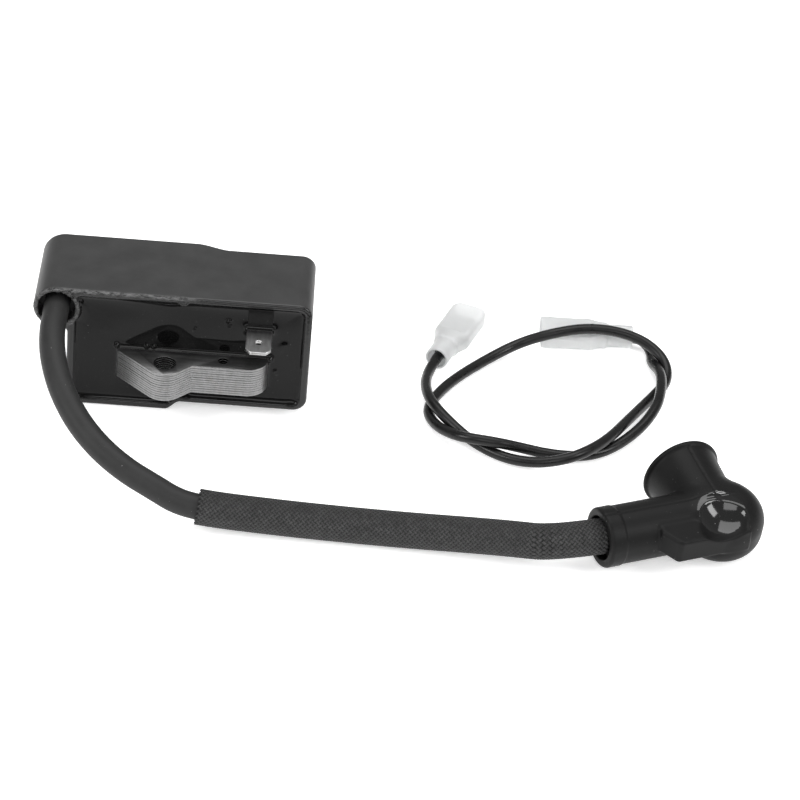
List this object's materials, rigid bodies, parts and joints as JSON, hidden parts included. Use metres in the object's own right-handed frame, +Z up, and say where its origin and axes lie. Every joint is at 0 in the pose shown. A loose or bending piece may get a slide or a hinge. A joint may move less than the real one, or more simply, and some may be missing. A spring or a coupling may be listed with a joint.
{
  "type": "ignition coil",
  "caption": "Potted ignition coil and control module on a laminated C core, with a high-tension lead ending in a right-angle plug boot and a loose kill-switch lead.",
  "frame": {"origin": "under the middle of the module, on the surface it stands on", "axes": "+X from the lead tower towards the electronics side, -Y out of the potted face, +Z up along the mounting bolts"},
  "size_m": [0.1797, 0.1089, 0.0339],
  "materials": {
    "case_plastic": "moulded glass-filled nylon, dark grey, worn at the rim",
    "resin": "black potting resin, mirror-smooth",
    "core_steel": "stamped electrical-steel sheets, dark oxide face, bright cut edges",
    "rivet_steel": "plain steel rivets",
    "bobbin_plastic": "natural nylon",
    "copper": "enamelled copper",
    "board": "glass-epoxy board",
    "chip_plastic": "moulded package",
    "resistor_body": "lacquered ceramic",
    "capacitor_body": "dipped film capacitor",
    "tinned": "tin-plated, satin",
    "lead_rubber": "black lead jacket, satin",
    "sleeve_braid": "woven black sleeve",
    "boot_rubber": "moulded black rubber, semi-gloss",
    "spring_steel": "spring wire",
    "grommet_rubber": "black rubber",
    "wire_jacket": "black PVC wire jacket",
    "terminal_brass": "tinned brass strip",
    "cover_pvc": "milky translucent soft PVC"
  },
  "bodies": {
    "module": {"case_shell": "case_plastic", "potting_resin": "resin", "core_stack": "core_steel", "core_rivets": "rivet_steel", "primary_bobbin": "bobbin_plastic", "primary_winding": "copper", "secondary_bobbin": "bobbin_plastic", "secondary_winding": "copper", "control_board": "board", "switching_transistor": "chip_plastic", "control_ic": "chip_plastic", "board_resistors": "resistor_body", "storage_capacitor": "capacitor_body", "clamp_diode": "chip_plastic", "earth_strap": "tinned", "spade_tab": "tinned", "ht_link": "tinned", "ht_spike": "tinned", "ht_grommet": "grommet_rubber", "ht_lead": "lead_rubber", "ht_conductor": "tinned", "braided_sleeve": "sleeve_braid"},
    "boot": {"boot_elbow": "boot_rubber", "contact_spring": "spring_steel"},
    "kill_lead": {"kill_wire": "wire_jacket", "kill_conductor": "copper", "terminal_a": "terminal_brass", "terminal_b": "terminal_brass"},
    "cover_a": {"terminal_cover_a": "cover_pvc"},
    "cover_b": {"terminal_cover_b": "cover_pvc"}
  },
  "joints": [
    {"name": "boot_swivel", "type": "hinge", "parent": "module", "child": "boot", "pos_m": [0.13258, -0.0529, 0.0083], "axis": [0.9205, 0.3907, 0], "range_deg": [-90, 90]},
    {"name": "kill_lead_lift", "type": "slide", "parent": "module", "child": "kill_lead", "axis": [0, 0, 1], "range_m": [0, 0.1]},
    {"name": "cover_a_slide", "type": "slide", "parent": "kill_lead", "child": "cover_a", "axis": [-0.3633, -0.9317, 0], "range_m": [0, 0.004]},
    {"name": "cover_b_slide", "type": "slide", "parent": "kill_lead", "child": "cover_b", "axis": [0.9994, 0.0349, 0], "range_m": [0, 0.002]}
  ]
}
